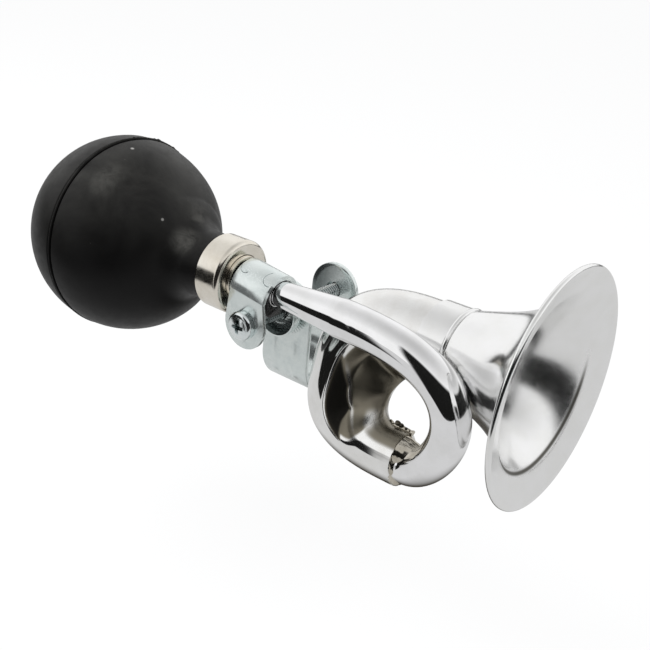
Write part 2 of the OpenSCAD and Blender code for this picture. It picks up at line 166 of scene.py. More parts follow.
def lathe(name, profile, cy, cz, sides, sharp=35, shape=None):
    """A body turned about the X axis through (cy, cz), from a closed outline of points (x, radius)."""
    points = []
    for x, r in profile:
        for a in turns(sides):
            px, pr = shape(x, r, a) if shape else (x, r)
            points.append((px, cy + pr * math.cos(a), cz + pr * math.sin(a)))
    return new_object(name, points, grid_faces(len(profile), sides), sharp)


def arc(cx, cr, radius, start, end, steps):
    """Points (x, radius) of an arc about (cx, cr), its angles counted from the radius towards X."""
    return [(cx + radius * math.sin(a), cr + radius * math.cos(a)) for a in sweep(start, end, steps + 1)]


def copy_of(node, name, bevel):
    """A copy of a CAD node's mesh with its flat faces merged and its edges rounded."""
    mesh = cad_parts[node].data.copy()
    tidy = bmesh.new()
    tidy.from_mesh(mesh)
    bmesh.ops.remove_doubles(tidy, verts=tidy.verts, dist=2e-6)
    bmesh.ops.dissolve_limit(tidy, angle_limit=math.radians(0.6), verts=tidy.verts, edges=tidy.edges)
    tidy.to_mesh(mesh)
    tidy.free()
    rounded(mesh)
    obj = linked(name, mesh)
    edge = obj.modifiers.new("edges", "BEVEL")
    edge.width = bevel * MM
    edge.segments = 3
    apply_modifiers(obj)
    obj.data.set_sharp_from_angle(angle=math.radians(40))
    return obj


def apply_modifiers(obj):
    """Make what the modifiers show the object's own mesh."""
    bpy.context.view_layer.update()
    done = obj.evaluated_get(bpy.context.evaluated_depsgraph_get())
    mesh = bpy.data.meshes.new_from_object(done)
    obj.modifiers.clear()
    obj.data = mesh


def round_wire(path, radius, sides=10):
    """Points and faces of a thin round bead along a path, closed at its ends."""
    path = np.array(path)
    along = unit(np.gradient(path, axis=0))
    first = unit(np.cross(along, (0.31, 0.82, 0.48)))
    second = np.cross(along, first)
    points = [p + radius * (math.cos(t) * a + math.sin(t) * b)
              for p, a, b in zip(path, first, second) for t in turns(sides)]
    return points, capped_faces(len(path), sides)


def joined(name, shells, sharp=40):
    """One object from several shells of points and faces."""
    points, faces = [], []
    for some_points, some_faces in shells:
        faces += [tuple(i + len(points) for i in face) for face in some_faces]
        points += list(some_points)
    return new_object(name, points, faces, sharp)


# Materials
# The second colour here is the black of painted shadow on plated metal
PIT, SHADOW_BLACK, SCRATCH = (0.12, 0.11, 0.10), (0.022, 0.021, 0.019), (0.30, 0.33, 0.34)
# The first colour here is the painted shade of zinc
ZINC_SHADE, DUST, CHALK_WHITE = (0.05, 0.07, 0.07), (0.30, 0.29, 0.27), (0.45, 0.44, 0.42)
# Painted shade for the groove beside the ball's mould line
GROOVE_SHADE = (0.001, 0.001, 0.001)


def colour(value):
    """A colour with its alpha, or a node's output as it is."""
    return value if hasattr(value, "node") else (*value, 1)


class Nodes:
    """A node tree, with short calls for the nodes used here."""

    def __init__(self, tree, coordinates):
        self.tree = tree
        self.where = self.add("TexCoord").outputs[coordinates]

    @classmethod
    def of_material(cls, name):
        mat = bpy.data.materials.new(name)
        mat.use_nodes = True
        made = cls(mat.node_tree, "Object")
        made.mat = mat
        return made

    def add(self, kind, inputs=(), **settings):
        """A new shader node with its settings and its inputs."""
        made = self.tree.nodes.new("ShaderNode" + kind)
        for key, value in settings.items():
            setattr(made, key, value)
        self.fill(made, dict(inputs))
        return made

    def fill(self, node, inputs):
        """Give a node's inputs a value or another node's output."""
        for key, value in inputs.items():
            if hasattr(value, "node"):
                self.tree.links.new(value, node.inputs[key])
            else:
                node.inputs[key].default_value = value

    def surface(self, inputs):
        """The material, with these inputs of its shader."""
        self.fill(self.tree.nodes["Principled BSDF"], inputs)
        return self.mat

    def noise(self, scale, detail=4.0, rough=0.55, stretch=None, distortion=0.0):
        where = self.where
        if stretch:
            where = self.add("Mapping", {"Scale": stretch, "Vector": where}).outputs["Vector"]
        inputs = {"Scale": scale, "Detail": detail, "Roughness": rough, "Distortion": distortion}
        return self.add("TexNoise", {**inputs, "Vector": where}).outputs["Fac"]

    def dots(self, scale, inner, outer):
        """Small round dots, 1 in the middle of each."""
        made = self.add("TexVoronoi", {"Scale": scale, "Vector": self.where})
        return self.ramp(made.outputs["Distance"], [(inner, 1.0), (outer, 0.0)])

    def dull_and_shade(self):
        """What the mesh says of its lost polish and painted shade at each place."""
        return self.add("Attribute", attribute_name="dull_and_shade").outputs["Fac"]

    def ramp(self, fac, stops):
        made = self.add("ValToRGB", {"Fac": fac})
        ramp = made.color_ramp
        while len(ramp.elements) < len(stops):
            ramp.elements.new(0.5)
        for element, (at, value) in zip(ramp.elements, stops):
            element.position = at
            element.color = (*value, 1) if isinstance(value, tuple) else (value, value, value, 1)
        return made.outputs["Color"]

    def math(self, what, a, b=0.5):
        return self.add("Math", {0: a, 1: b}, operation=what).outputs[0]

    def times(self, a, b):
        return self.math("MULTIPLY", a, b)

    def step(self, value, low, high):
        """Smooth step of a value, 0 up to one limit and 1 from the other."""
        inputs = {"From Min": low, "From Max": high, "Value": value}
        return self.add("MapRange", inputs, interpolation_type="SMOOTHSTEP").outputs[0]

    def between(self, value, a, b, c, d):
        """1 between two limits, with a smooth edge at each."""
        return self.times(self.step(value, a, b), self.step(value, d, c))

    def near(self, centre, inner, outer):
        """1 near a place given in mm, falling to 0 away from it."""
        ends = {0: self.where, 1: tuple(c * MM for c in centre)}
        gap = self.add("VectorMath", ends, operation="DISTANCE")
        return self.step(gap.outputs["Value"], outer * MM, inner * MM)

    def split(self, vector):
        return self.add("SeparateXYZ", {0: vector}).outputs

    def either(self, fac, a, b):
        """One shader where fac is 0, the other where it is 1."""
        return self.add("MixShader", {0: fac, 1: a, 2: b}).outputs[0]

    def glow(self, kind, color, strength=1.0):
        return self.add(kind, {"Color": colour(color), "Strength": strength}).outputs[0]

    def mix(self, fac, a, b):
        return self.add("Mix", {0: fac, 6: colour(a), 7: colour(b)}, data_type="RGBA").outputs[2]

    def bump(self, height, strength, distance, before=None):
        made = self.add("Bump", {"Strength": strength, "Distance": distance, "Height": height})
        if before is not None:
            self.fill(made, {"Normal": before})
        return made.outputs["Normal"]


def plated(name, light, dark, rough, wave=0.006, pits=0.35, lines=None, dull_and_shade=None):
    """Bright plated metal: cloudy tint, uneven polish, faint ripples, small pits, turning lines where asked.
    With a colour given, the mesh says where the plate is rougher and takes that colour as painted shade, up
    to 1, and where it is painted black as shadow, up to 2."""
    n = Nodes.of_material(name)
    tint = n.ramp(n.noise(130, 5, 0.6), [(0.34, dark), (0.62, light)])
    patch = n.ramp(n.noise(95, 3), [(0.55, 0.0), (0.72, 1.0)])
    mask = n.times(n.times(n.dots(900, 0.05, 0.13), patch), pits)
    polish = n.ramp(n.noise(420, 6, 0.7), [(0.3, rough * 0.75), (0.75, rough * 1.35)])
    if dull_and_shade:
        dullness_and_shade = n.dull_and_shade()
        # Painted shade: the given colour where the mesh asks for it, and painted black shadow above 1
        tint = n.mix(n.step(dullness_and_shade, 0.4, 0.95), tint, dull_and_shade)
        tint = n.mix(n.step(dullness_and_shade, 1.1, 1.9), tint, SHADOW_BLACK)
        polish = n.math("ADD", polish, n.times(dullness_and_shade, 0.30))
    tint = n.mix(mask, tint, PIT)
    polish = n.math("ADD", polish, n.times(mask, 0.4))
    normal = n.bump(n.noise(75, 2, 0.4), 0.5, wave * MM * 10)
    normal = n.bump(n.noise(2600, 3, 0.5), 0.12, 0.002 * MM, normal)
    if lines:
        normal = n.bump(n.noise(1, 3, 0.6, stretch=lines), 0.25, 0.01 * MM, normal)
    return n.surface({"Metallic": 1.0, "Base Color": tint, "Roughness": polish, "Normal": normal})


def zinc(name, light, dark, rough, metal=0.86):
    """Zinc plate on stamped sheet: bluish, mottled, with die scratches, and a dark painted shade where the
    mesh asks for it.
    """
    n = Nodes.of_material(name)
    tint = n.ramp(n.noise(240, 6, 0.65), [(0.32, dark), (0.66, light)])
    scratch = n.ramp(n.noise(1, 2, 0.5, stretch=(90, 90, 2600)), [(0.60, 0.0), (0.72, 1.0)])
    thin = n.times(scratch, n.ramp(n.noise(160, 3), [(0.5, 0.0), (0.7, 0.5)]))
    # Painted shade where the mesh asks for it
    tint = n.mix(n.dull_and_shade(), n.mix(thin, tint, SCRATCH), ZINC_SHADE)
    polish = n.ramp(n.noise(700, 5, 0.7), [(0.3, rough * 0.7), (0.75, rough * 1.4)])
    normal = n.bump(n.noise(160, 3, 0.5), 0.4, 0.03 * MM)
    normal = n.bump(n.noise(1800, 4, 0.6), 0.2, 0.006 * MM, normal)
    return n.surface({"Metallic": metal, "Base Color": tint, "Roughness": polish, "Normal": normal})


def rubber(name, light, dark, rough, gloss, dust=1.0, middle=0.0, reach=1.0, wrinkle=0.12,
           marks=(), chalk=()):
    """Moulded rubber: black below, lighter towards the top as a painted sheen on a mottled whitish film, fine
    pores, and specks of dust.
    Marks are places of heavier whitish film with painted sheen, chalk is white specks, each as (x, y, z,
    radius, share) in mm."""
    n = Nodes.of_material(name)
    # Painted sheen: lighter towards the top, mottled like a whitish film
    upper = n.step(n.split(n.where)[2], middle - reach, middle + reach)
    cloud = n.ramp(n.noise(48, 6, 0.6, distortion=0.5), [(0.36, 0.25), (0.66, 1.0)])
    bloom_and_sheen = n.mix(n.times(upper, cloud), dark, light)
    broken = n.ramp(n.noise(210, 6, 0.65, distortion=0.8), [(0.38, 0.15), (0.62, 1.0)])
    for x, y, z, radius, share in marks:
        patch = n.times(n.near((x, y, z), 0.15 * radius, radius), n.times(broken, share))
        bloom_and_sheen = n.mix(patch, bloom_and_sheen, tuple(2.0 * c for c in light))
    some = n.ramp(n.noise(110, 4, 0.6), [(0.58, 0.0), (0.66, 1.0)])
    specks = n.times(n.times(n.dots(420, 0.035, 0.075), some), 0.35 * dust)
    bloom_and_sheen = n.mix(specks, bloom_and_sheen, DUST)
    for x, y, z, radius, share in chalk:
        spot = n.times(n.near((x, y, z), 0.5 * radius, radius), share)
        bloom_and_sheen = n.mix(spot, bloom_and_sheen, CHALK_WHITE)
    dullness_and_shade = n.dull_and_shade()
    # Painted shade where the mesh asks for it, where the shine is also taken away
    bloom_and_sheen = n.mix(dullness_and_shade, bloom_and_sheen, GROOVE_SHADE)
    polish = n.ramp(n.noise(300, 6, 0.7), [(0.3, rough * 0.85), (0.72, rough * 1.15)])
    shine = n.times(n.math("SUBTRACT", 1.0, dullness_and_shade), gloss)
    normal = n.bump(n.noise(1500, 4, 0.6), 0.22, 0.03 * MM)
    normal = n.bump(n.noise(140, 3, 0.5), 0.25, wrinkle * MM, normal)
    return n.surface({"Base Color": bloom_and_sheen, "Roughness": polish, "Specular IOR Level": shine,
                      "Normal": normal})


CHROME = plated("chrome_plate", (0.93, 0.93, 0.94), (0.86, 0.86, 0.86), 0.055)
# The satin bell's given colour is painted shade, for the bend inside and below the throat
SATIN = plated("satin_bell_plate", (0.93, 0.93, 0.93), (0.90, 0.90, 0.89), 0.15, 0.002, 0.2,
               lines=(900, 40, 40), dull_and_shade=(0.13, 0.125, 0.11))
BRANCH = plated("branch_plate", (0.92, 0.92, 0.92), (0.88, 0.88, 0.87), 0.15, 0.003, 0.25)
# The loop's given colour is the dark brown of the dish, a painted reflection, and of the hole's edge
LOOP = plated("loop_plate", (0.92, 0.92, 0.91), (0.84, 0.83, 0.81), 0.07, 0.008, 0.4,
              dull_and_shade=(0.24, 0.218, 0.172))
NICKEL = plated("satin_nickel_plate", (0.85, 0.81, 0.73), (0.75, 0.70, 0.61), 0.18, 0.003, 0.2,
                lines=(30, 700, 700))
SOLDER = plated("grey_solder_metal", (0.70, 0.66, 0.58), (0.36, 0.33, 0.27), 0.15, 0.006, 0.6)
BURNT = plated("burnt_solder_metal", (0.16, 0.14, 0.11), (0.05, 0.045, 0.035), 0.34, 0.03, 0.8)
BRASS = plated("reed_brass_metal", (0.80, 0.62, 0.30), (0.66, 0.49, 0.22), 0.22, 0.004, 0.4)
ZINC = zinc("zinc_sheet_metal", (0.80, 0.85, 0.835), (0.71, 0.77, 0.76), 0.20)
# A darker copy of the zinc: painted shade for the lanced and scored lines and the screw's recess
ZINC_SHADED = zinc("zinc_shaded_metal", (0.42, 0.47, 0.47), (0.26, 0.31, 0.31), 0.22)
SCREW = zinc("zinc_screw_metal", (0.88, 0.92, 0.92), (0.76, 0.81, 0.82), 0.17, 1.0)
# Lighter patches of whitish film with painted sheen on the ball
BLOOM_AND_SHEEN = ((-52.7, -47.6, 53.9, 7.0, 0.55), (-52.4, -43.7, 56.7, 6.0, 0.5), (-28.0, -34.0, 38.5, 6.5, 0.9),
         (-32.1, -23.5, 43.9, 7.0, 0.8))
CHALK = ((-57.0, -31.5, 62.3, 0.95, 0.7), (-34.8, -37.9, 44.5, 0.6, 0.5))
RUBBER = rubber("bulb_rubber", (0.034, 0.033, 0.030), (0.0030, 0.0028, 0.0028), 0.42, 0.16,
                middle=0.043, reach=0.018, marks=BLOOM_AND_SHEEN, chalk=CHALK)
LINER = rubber("liner_rubber_mat", (0.012, 0.012, 0.012), (0.004, 0.004, 0.004), 0.16, 0.45,
               dust=0.3, wrinkle=0.7)


# Rubber ball: a shell with a raised mould line round its middle
BULB_SIDES = 360
SEAM_SHIFT, SEAM_WIDTH, SEAM_LOW, SEAM_TOP = 1.5, 0.36, 0.24, 0.42
GROOVE_AT, GROOVE_WIDTH, GROOVE_DEPTH = 0.75, 0.3, 0.3
SLUMP_LEAN = (20, 27, 34, 41, 50, 60, 70, 80, 90, 100)
SLUMP_DEPTH = (0, 0.4, 1.6, 2.9, 2.6, 2.1, 1.7, 1.2, 0.5, 0)
SLUMP_SIDE = math.radians(30)
NECK_EDGE = 0.4


def bulb_profile():
    """Outline of the ball and its neck, outside and then inside, with close steps at the mould line."""
    fillet_x = math.sqrt((BULB_R + FILLET) ** 2 - (NECK_R + FILLET) ** 2)
    end = math.degrees(math.asin((NECK_R + FILLET) / (BULB_R + FILLET)))
    steps = np.r_[sweep(0.4, 82, 58), sweep(82.4, 93.4, 70), sweep(94, 180 - end, 42)]
    out = [(-BULB_R * math.cos(t), BULB_R * math.sin(t)) for t in steps]
    for t in sweep(90 - end, 0, 14)[1:]:
        out.append((fillet_x - FILLET * math.sin(t), NECK_R + FILLET - FILLET * math.cos(t)))
    front = NECK_FRONT - BULB_X
    out += [(x, NECK_R) for x in np.linspace(fillet_x + 1.5, front - NECK_EDGE, 6)]
    out += [(front, NECK_R - NECK_EDGE), (front, NECK_BORE)]
    start = math.degrees(math.asin(NECK_BORE / BULB_BORE))
    out += [(BULB_BORE * math.cos(t), BULB_BORE * math.sin(t)) for t in sweep(start, 179.6, 40)]
    return [(BULB_X + x, r) for x, r in out]


def seam_at(a):
    """Where the mould line runs along X, at an angle round the bulb."""
    return -SEAM_SHIFT * max(0.0, -math.cos(a))


def bulb_slump(x, r, a):
    """How far the shoulder has sunk on its upper far side."""
    lean = math.degrees(math.atan2(r, x - BULB_X))
    return np.interp(lean, SLUMP_LEAN, SLUMP_DEPTH) * smooth(-0.2, 0.8, math.cos(a - SLUMP_SIDE))


def bulb_shape(x, r, a):
    """The ball's outline at one angle: slumped, with the mould line, which is ragged on top."""
    dx = x - BULB_X - seam_at(a)
    slump = bulb_slump(x, r, a)
    if r < BULB_R - 1.6 or math.hypot(x - BULB_X, r) < BULB_R - 0.5:
        return x, r - slump
    ragged = 0.5 + 1.2 * max(0.0, noise.noise(Vector((math.cos(a), math.sin(a), 0)) * 26))
    uneven = 0.08 * noise.noise(Vector((math.cos(a), math.sin(a), 3)) * 9)
    height = SEAM_LOW + SEAM_TOP * smooth(0.35, 0.8, math.sin(a + 0.3)) * ragged + uneven
    grooves = bell_curve(dx - GROOVE_AT, GROOVE_WIDTH) + bell_curve(dx + GROOVE_AT, GROOVE_WIDTH)
    return x, r + height * bell_curve(dx, SEAM_WIDTH) - GROOVE_DEPTH * grooves - slump


def rubber_ball():
    """The ball, with painted shade in the groove beside its mould line."""
    profile = bulb_profile()
    shares = []
    for x, r in profile:
        for a in turns(BULB_SIDES):
            groove = bell_curve(x - BULB_X - seam_at(a) - 0.7, 0.42)
            shares.append(groove if r > BULB_R - 0.5 else 0.0)
    return shade(lathe("bulb_shell", profile, AXIS_Y, AXIS_Z, BULB_SIDES, 60, bulb_shape), shares)


bulb = place(rubber_ball(), "bulb", "black_rubber", RUBBER, "rubber_bulb")


# Ferrule and bush
FERRULE_ROUND, FACE_R, FACE_SINK, LIP_SINK = 1.6, 10.2, 0.12, 0.95
PIPE_HOLE_R, HOLLOW_R = 2.95, 5.0


def ferrule_profile():
    """Outline of the nickel cup: its wall, its rounded front corner, its sunk face and its inside."""
    back = FERRULE_BACK
    outer = [(back, NECK_R + 0.2), (back + 0.05, FERRULE_R - 0.25), (back + 0.3, FERRULE_R)]
    outer += [(x, FERRULE_R) for x in np.linspace(back + 1, FERRULE_X - 1.7, 6)]
    outer += arc(FERRULE_X - FERRULE_ROUND, FERRULE_R - FERRULE_ROUND, FERRULE_ROUND, 0, 90, 10)
    face = [(FERRULE_X, FACE_R), (FERRULE_X - FACE_SINK, FACE_R - 0.6), (FERRULE_X - FACE_SINK, BUSH_R + 0.2)]
    inside = [(FERRULE_X - LIP_SINK, BUSH_R + 0.06), (FERRULE_X - LIP_SINK - 0.03, NECK_R + 0.05)]
    return outer + face + inside


ferrule = lathe("ferrule_cap", ferrule_profile(), AXIS_Y, AXIS_Z, 192)
place(ferrule, "horn", "satin_nickel", NICKEL, "bulb_ferrule")

BUSH_PROFILE = [
    (BUSH_BACK, BUSH_BORE), (BUSH_BACK, BUSH_R - 0.2), (BUSH_BACK + 0.2, BUSH_R), (FERRULE_X - 0.2, BUSH_R),
    (BOSS_X - 0.5, BUSH_R), (BOSS_X - 0.15, BUSH_R - 0.12), (BOSS_X, BUSH_R - 0.45), (BOSS_X, HOLLOW_R),
    (BOSS_X - 0.25, HOLLOW_R - 0.4), (BOSS_X - 0.3, PIPE_HOLE_R), (PIPE_START, PIPE_HOLE_R),
    (PIPE_START, BUSH_BORE),
]
place(lathe("bush_sleeve", BUSH_PROFILE, AXIS_Y, AXIS_Z, 128), "horn", "satin_nickel", NICKEL, "neck_bush")


# Mouthpipe
PIPE_LEAD, PIPE_FRONT, PIPE_INSERT, JOINT_LEAD, PIPE_WALL = 32.0, 0.46, 4.0, 1.5, 0.7
PIPE_R_SCREW, PIPE_R_BEND, PIPE_R_END = 3.5, 6.2, 6.0
FLAW_X, FLAW_REACH, FLAW_DEPTH = 37.5, 2.8, 0.06


def bezier(p, t):
    """Point of a curve with four control points, from its start at 0 to its end at 1."""
    return (1 - t) ** 3 * p[0] + 3 * t * (1 - t) ** 2 * p[1] + 3 * t * t * (1 - t) * p[2] + t ** 3 * p[3]


def pipe_path():
    """Points along the pipe, straight and then in two curves that meet at its front, with their radii."""
    joint = JOINT_X + JOINT_LEAD
    first = np.array([(PIPE_LEAD, 0), (PIPE_LEAD + 0.74 * (LOOP_REACH - PIPE_LEAD), 0),
                      (LOOP_REACH, PIPE_FRONT - 0.28), (LOOP_REACH, PIPE_FRONT)])
    second = np.array([(LOOP_REACH, PIPE_FRONT), (LOOP_REACH, PIPE_FRONT + 0.23),
                       (JOINT_X + 0.45 * (LOOP_REACH - JOINT_X), 1), (joint, 1)])
    flat = [(x, 0) for x in np.linspace(PIPE_START, PIPE_LEAD, 90)[:-1]]
    straight = len(flat)
    flat += [bezier(first, t) for t in np.linspace(0, 1, 91)[:-1]]
    flat += [bezier(second, t) for t in np.linspace(0, 1, 81)]
    flat += [(x, 1) for x in np.linspace(joint, JOINT_X - PIPE_INSERT, 12)[1:]]
    flat = np.array(flat)
    bend = flat[:, 1]
    path = np.c_[flat[:, 0], bend * LOOP_LEAN - 4 * LOOP_BOW * bend * (1 - bend), -bend * LOOP_DROP]
    run = np.r_[0, np.cumsum(np.linalg.norm(np.diff(path, axis=0), axis=1))]
    curved = np.clip((run - run[straight]) / (run[-1] - run[straight]), 0, 1)
    taper = PIPE_R_SCREW + (PIPE_R_BEND - PIPE_R_SCREW) / PIPE_LEAD * path[:, 0]
    bent = PIPE_R_BEND + (PIPE_R_END - PIPE_R_BEND) * curved
    return path, np.where(np.arange(len(path)) < straight, taper, bent)


PIPE, PIPE_R = pipe_path()


def pipe_flaw(a, x):
    """Slight unevenness of the drawn pipe, with one rough patch where its bend begins."""
    spot = Vector((x * 0.12, math.cos(a) * 0.9, math.sin(a) * 0.9))
    grain = noise.noise(Vector((x * 0.9, math.cos(a) * 5, math.sin(a) * 5)))
    return 0.03 * noise.noise(spot) + bell_curve(x - FLAW_X, FLAW_REACH) * FLAW_DEPTH * grain


def mouth_pipe():
    """The pipe's skin along its path, out along the outside and back along the inside."""
    sides = 96
    along = unit(np.gradient(PIPE, axis=0))
    side = unit(np.cross(unit(np.array([0, LOOP_DROP, LOOP_LEAN])), along))
    up = np.cross(along, side)
    points = []
    rows = [*range(len(PIPE)), *reversed(range(len(PIPE)))]
    for k, i in enumerate(rows):
        for a in turns(sides):
            r = PIPE_R[i] + pipe_flaw(a, PIPE[i][0]) if k < len(PIPE) else PIPE_R[i] - PIPE_WALL
            points.append(PIPE[i] + r * (math.cos(a) * side[i] + math.sin(a) * up[i]) + AXIS)
    return new_object("mouth_pipe", points, grid_faces(len(rows), sides), 50)


place(mouth_pipe(), "horn", "bright_chrome", CHROME, "mouthpipe")


# Loop tube: wide tube that fans round the hole, its near wall fallen in and creased
MOUTH_W, MOUTH_D, TUBE_WALL = 17.9, 15.2, 0.8
BACK_W, BACK_D, FULL, DISH = 30.4, 21.2, 2.75, 0.42
# The second value is the share at which the plate turns to painted black shadow
TORN, BLACK = 0.5, 1.9


def ease(a):
    """Smooth change from 0 to 1 over half a turn."""
    return (1 - math.cos(math.radians(a))) / 2


def loop_section(a):
    """Reach from the hole's middle, depth and sideways lean of the tube at an angle round the hole."""
    bottom, back, top = HOLE_R + MOUTH_W, HOLE_R + BACK_W, HOLE_R + 2 * BRANCH_R
    s, c = math.sin(math.radians(a)), abs(math.cos(math.radians(a)))
    reach = ((c / (bottom if a < 90 else top)) ** FULL + (s / back) ** FULL) ** (-1 / FULL)
    if a < 90:
        deep = MOUTH_D + (BACK_D - MOUTH_D) * ease(2 * a)
    else:
        deep = BACK_D + (2 * BRANCH_R - BACK_D) * ease(2 * a - 180)
    return reach, deep, LOOP_LEAN + (BELL_SHIFT - LOOP_LEAN) * ease(a)


def loop_dent(a, u):
    """How far the near wall has fallen in, from 0 at the outer roll to 1 in the dish beside the hole."""
    return smooth(28, 72, a) * smooth(165, 126, a) * smooth(0.14, -0.24, u)


def dish_crease(a):
    """Where the pinched fold of the dish runs, across the section."""
    return np.interp(a, (66, 82, 92, 105, 118), (-0.36, -0.28, -0.23, -0.08, 0.06))


def dish_shadow(a, u):
    """How much painted black shadow lies on the dish's steep wall, between the outer roll and the pinched
    fold.
    """
    fold = max(dish_crease(a), np.interp(a, (40, 50, 60, 70), (0.08, -0.04, -0.17, -0.36)))
    across = smooth(0.15, 0.07, u) * smooth(fold, fold + 0.08, u)
    return 0.9 * across * smooth(36, 48, a) * smooth(130, 112, a)


def near_height(a, u):
    """Height of the near wall as a share of half the depth, with the dish, its folds and a crease."""
    whole = math.sqrt(max(0.0, 1 - u * u))
    sunk = loop_dent(a, u)
    turn = math.radians(a)
    fold = 0.034 * math.sin(5 * turn + 2.6 * u) + 0.022 * math.sin(9.5 * turn - 3.1 * u)
    fold += 0.06 * noise.noise(Vector((3.2 * turn, 2.4 * u, 1.7)))
    crease = 0.016 * bell_curve(u - 0.17, 0.03) * smooth(20, 60, a) * smooth(165, 126, a)
    pinch = 0.03 * bell_curve(u - dish_crease(a), 0.05) * smooth(60, 78, a) * smooth(124, 110, a)
    return whole * (1 - DISH * sunk + fold * sunk) + crease + pinch


def loop_point(a, x, b, wall):
    """A point of the loop tube, from the pipe's axis, by the angle round the hole, the place along X,
    the angle round the section and the depth in the wall."""
    reach, deep, lean = loop_section(a)
    out = np.array([-math.sin(math.radians(a)), 0, -math.cos(math.radians(a))])
    width = (reach - HOLE_R) / 2
    u, h = math.cos(b), math.sin(b)
    share = near_height(a, u) if h > 0 else h
    middle = np.array([x, lean, HOLE_Z]) + out * (HOLE_R + width)
    return middle + (width - wall) * u * out - (share * deep / 2 - wall * h) * np.array([0, 1, 0])


def loop_dullness_and_shade(a, b):
    """Share of lost polish and painted shade: rougher and painted dark brown in the dish as a painted
    reflection, rougher and dark brown at the hole's edge, only rougher at the branch, less along the dish's
    fold and in a patch by the hole as painted highlights, and painted black shadow on the steep wall.
    """
    u, h = math.cos(b), math.sin(b)
    dish = loop_dent(a, u) if h > 0 else 0.0
    edge = 0.9 * smooth(-0.45, -0.75, u) * smooth(120, 70, a) * smooth(-0.75, -0.4, h)
    share = max(smooth(0.0, 0.25, dish), edge, 0.4 * smooth(112, 150, a))
    # Painted highlights: less darkening along the dish's fold and in a patch beside the hole
    share -= 0.4 * dish * bell_curve(u - dish_crease(a), 0.06)
    share -= 0.6 * edge * bell_curve(a - 50, 16) * bell_curve(u + 0.8, 0.16)
    black = dish_shadow(a, u) if h > 0 else 0.0
    return max(0.0, share + (BLACK - share) * black)


def loop_tube():
    """The loop tube's mesh, its lip slightly torn, with the lost polish and painted shade at each point."""
    around = np.r_[sweep(0, 60, 19)[:-1], sweep(60, 112, 61)[:-1], sweep(112, 360, 90)[:-1]]
    stations = [(0, x) for x in np.linspace(JOINT_X, HOLE_X, 14)[:-1]]
    stations += [(a, HOLE_X) for a in np.linspace(0, 180, 181)]
    stations += [(180, x) for x in np.linspace(HOLE_X, SEAT_X - 0.05, 9)[1:]]
    points, dull_and_shade = [], []
    for wall, order in ((0, stations), (TUBE_WALL, stations[::-1])):
        for a, x in order:
            for b in around:
                p = loop_point(a, x, b, wall) + AXIS
                if x > HOLE_X and a < 1:
                    torn = noise.noise(Vector((0.3, math.cos(b) * 4, math.sin(b) * 4)))
                    p[0] += TORN * min(0.0, torn) * (x - HOLE_X) / (JOINT_X - HOLE_X)
                points.append(p)
                dull_and_shade.append(loop_dullness_and_shade(a, b))
    return shade(new_object("loop_bend", points, grid_faces(2 * len(stations), len(around)), 60), dull_and_shade)


place(loop_tube(), "horn", "bright_chrome", LOOP, "loop_tube")


# Solder: a lumpy skirt from the lip of the oval mouth down to the pipe, long on top where it makes a web
LIP_Y, LIP_Z, LIP_RISE, LIP_T = 7.15, 8.5, 1.25, 0.5
WEB_LEAST, WEB_TOP, WEB_BELOW, SKIRT_BACK = 0.9, 6.0, 1.6, 2.2
BURRS = ((49.6, 1.5, 0.85), (51.0, 1.3, 0.75), (53.0, 0.9, 0.5), (54.4, 0.7, 0.4))
(BURR_SIDE, BEAD_SIDE), BEAD_R = radians(205, 208), 0.85


def on_pipe(x, angle, sink):
    """A point on the pipe's skin near its soldered end, at a place along X."""
    end = len(PIPE) - 70
    order = np.argsort(PIPE[end:, 0])
    y, z, r = (np.interp(x, PIPE[end:, 0][order], v[end:][order]) for v in (PIPE[:, 1], PIPE[:, 2], PIPE_R))
    return np.array([x, y + (r - sink) * math.cos(angle), z + (r - sink) * math.sin(angle)])


def on_lip(x, a, inset):
    """A point of the tube's oval lip, at an angle round it."""
    y, z = (LIP_Y - inset) * math.cos(a), (LIP_Z - inset) * math.sin(a)
    return np.array([x, LOOP_LEAN + y, LIP_RISE - LOOP_DROP + z])


def skirt_point(t, a, grain):
    """A point of the solder's outside, from the lip at 0 to its foot on the pipe at 1."""
    y, z = math.cos(a), math.sin(a)
    lump = noise.noise(Vector((y * 2.4, z * 2.4, 5.0)))
    fine = noise.noise(Vector((y * 8, z * 8, grain)))
    lip = on_lip(JOINT_X - 0.25, a, 0.0)
    length = WEB_LEAST + WEB_TOP * smooth(0.35, 1.0, z) + WEB_BELOW * smooth(-0.6, -1.0, z)
    foot = on_pipe(JOINT_X + length + 0.7 * lump, a, 0.12)
    sag = math.sin(math.pi * t)
    p = lip + t * (foot - lip) - 0.35 * sag * np.array([0.6, y * 0.5, z * 0.5])
    p += (0.14 * fine + 0.6 * lump) * sag * np.array([0.6, y, z])
    return p + smooth(-0.55, -1.0, z) * sag * np.array([0.3, y, z])


def solder_skirt():
    """The solder as a closed sleeve: outside, foot on the pipe, and back inside the tube's lip."""
    sides, steps = 96, 12
    around = turns(sides)
    points = [skirt_point(k / steps, a, k * 0.5) for k in range(steps + 1) for a in around]
    points += [on_pipe(JOINT_X - SKIRT_BACK, a, -0.06) for a in around]
    points += [on_lip(JOINT_X - SKIRT_BACK, a, LIP_T) for a in around]
    points = [p + AXIS for p in points]
    return new_object("solder_fill", points, grid_faces(steps + 3, sides), 70)


place(solder_skirt(), "horn", "grey_solder", SOLDER, "loop_solder")


